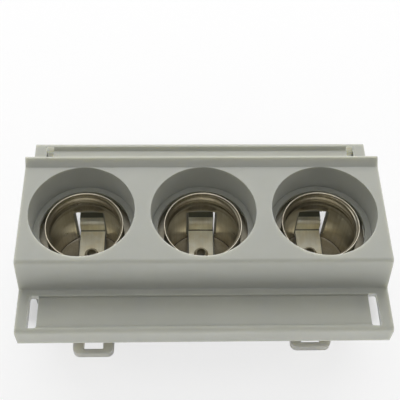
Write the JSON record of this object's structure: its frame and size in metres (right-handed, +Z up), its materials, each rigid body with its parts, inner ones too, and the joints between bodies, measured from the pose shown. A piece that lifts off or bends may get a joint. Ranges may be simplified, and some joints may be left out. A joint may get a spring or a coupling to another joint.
{
  "type": "screw-in fuse base",
  "caption": "Rail-mounted fuse base with a moulded cover, round openings over threaded contact shells, label ledges and pull-out rail latches.",
  "frame": {"origin": "centre of the underside, on the floor plane, under the middle fuse axis", "axes": "+X along the row of poles to the right, +Y to the rear, away from the latches' pull loops, +Z up, out of the openings"},
  "size_m": [0.126, 0.0794, 0.05],
  "materials": {
    "cover_plastic": "light grey moulded thermoplastic, fine satin grain",
    "base_plastic": "grey moulded thermoset, matt",
    "latch_plastic": "off-white moulded polyamide, satin",
    "shell_metal": "drawn brass sheet, nickel plated, bright",
    "bar_metal": "stamped brass, nickel plated, satin",
    "strap_metal": "stamped brass, nickel plated, satin",
    "eyelet_metal": "turned brass, nickel plated, bright",
    "rivet_metal": "zinc plated steel, satin",
    "clamp_metal": "zinc plated steel, satin",
    "screw_metal": "zinc plated steel, satin"
  },
  "bodies": {
    "base": {"base_body": "base_plastic", "screw_shell_left": "shell_metal", "screw_shell_middle": "shell_metal", "screw_shell_right": "shell_metal", "load_bar_left": "bar_metal", "load_bar_middle": "bar_metal", "load_bar_right": "bar_metal", "contact_strap_left": "strap_metal", "contact_strap_middle": "strap_metal", "contact_strap_right": "strap_metal", "eyelet_left": "eyelet_metal", "eyelet_middle": "eyelet_metal", "eyelet_right": "eyelet_metal", "shell_rivets": "rivet_metal", "terminal_nuts": "screw_metal"},
    "cover": {"cover": "cover_plastic"},
    "latch_left": {"rail_latch_left": "latch_plastic"},
    "latch_right": {"rail_latch_right": "latch_plastic"},
    "clamp_front_left": {"clamp_front_left": "clamp_metal"},
    "screw_front_left": {"screw_front_left": "screw_metal"},
    "clamp_front_middle": {"clamp_front_middle": "clamp_metal"},
    "screw_front_middle": {"screw_front_middle": "screw_metal"},
    "clamp_front_right": {"clamp_front_right": "clamp_metal"},
    "screw_front_right": {"screw_front_right": "screw_metal"},
    "clamp_rear_left": {"clamp_rear_left": "clamp_metal"},
    "screw_rear_left": {"screw_rear_left": "screw_metal"},
    "clamp_rear_middle": {"clamp_rear_middle": "clamp_metal"},
    "screw_rear_middle": {"screw_rear_middle": "screw_metal"},
    "clamp_rear_right": {"clamp_rear_right": "clamp_metal"},
    "screw_rear_right": {"screw_rear_right": "screw_metal"}
  },
  "joints": [
    {"name": "cover_lift", "type": "slide", "parent": "base", "child": "cover", "axis": [0, 0, 1], "range_m": [0, 0.03]},
    {"name": "latch_left_pull", "type": "slide", "parent": "base", "child": "latch_left", "axis": [0, -1, 0], "range_m": [-0.0019, 0.0021]},
    {"name": "latch_right_pull", "type": "slide", "parent": "base", "child": "latch_right", "axis": [0, -1, 0], "range_m": [0, 0.004]},
    {"name": "clamp_front_left_lift", "type": "slide", "parent": "base", "child": "clamp_front_left", "axis": [0, 0, 1], "range_m": [0, 0.004]},
    {"name": "screw_front_left_turn", "type": "hinge", "parent": "clamp_front_left", "child": "screw_front_left", "pos_m": [-0.042, -0.0275, 0.02], "axis": [0, 0, 1], "range_deg": [0, 1800]},
    {"name": "clamp_front_middle_lift", "type": "slide", "parent": "base", "child": "clamp_front_middle", "axis": [0, 0, 1], "range_m": [0, 0.004]},
    {"name": "screw_front_middle_turn", "type": "hinge", "parent": "clamp_front_middle", "child": "screw_front_middle", "pos_m": [0, -0.0275, 0.02], "axis": [0, 0, 1], "range_deg": [0, 1800]},
    {"name": "clamp_front_right_lift", "type": "slide", "parent": "base", "child": "clamp_front_right", "axis": [0, 0, 1], "range_m": [0, 0.004]},
    {"name": "screw_front_right_turn", "type": "hinge", "parent": "clamp_front_right", "child": "screw_front_right", "pos_m": [0.042, -0.0275, 0.02], "axis": [0, 0, 1], "range_deg": [0, 1800]},
    {"name": "clamp_rear_left_lift", "type": "slide", "parent": "base", "child": "clamp_rear_left", "axis": [0, 0, 1], "range_m": [0, 0.004]},
    {"name": "screw_rear_left_turn", "type": "hinge", "parent": "clamp_rear_left", "child": "screw_rear_left", "pos_m": [-0.042, 0.0275, 0.02], "axis": [0, 0, 1], "range_deg": [0, 1800]},
    {"name": "clamp_rear_middle_lift", "type": "slide", "parent": "base", "child": "clamp_rear_middle", "axis": [0, 0, 1], "range_m": [0, 0.004]},
    {"name": "screw_rear_middle_turn", "type": "hinge", "parent": "clamp_rear_middle", "child": "screw_rear_middle", "pos_m": [0, 0.0275, 0.02], "axis": [0, 0, 1], "range_deg": [0, 1800]},
    {"name": "clamp_rear_right_lift", "type": "slide", "parent": "base", "child": "clamp_rear_right", "axis": [0, 0, 1], "range_m": [0, 0.004]},
    {"name": "screw_rear_right_turn", "type": "hinge", "parent": "clamp_rear_right", "child": "screw_rear_right", "pos_m": [0.042, 0.0275, 0.02], "axis": [0, 0, 1], "range_deg": [0, 1800]}
  ],
  "couplings": [
    {"joint": "screw_front_left_turn", "follows": "clamp_front_left_lift", "rad_per_m": 7854},
    {"joint": "screw_front_middle_turn", "follows": "clamp_front_middle_lift", "rad_per_m": 7854},
    {"joint": "screw_front_right_turn", "follows": "clamp_front_right_lift", "rad_per_m": 7854},
    {"joint": "screw_rear_left_turn", "follows": "clamp_rear_left_lift", "rad_per_m": 7854},
    {"joint": "screw_rear_middle_turn", "follows": "clamp_rear_middle_lift", "rad_per_m": 7854},
    {"joint": "screw_rear_right_turn", "follows": "clamp_rear_right_lift", "rad_per_m": 7854}
  ]
}
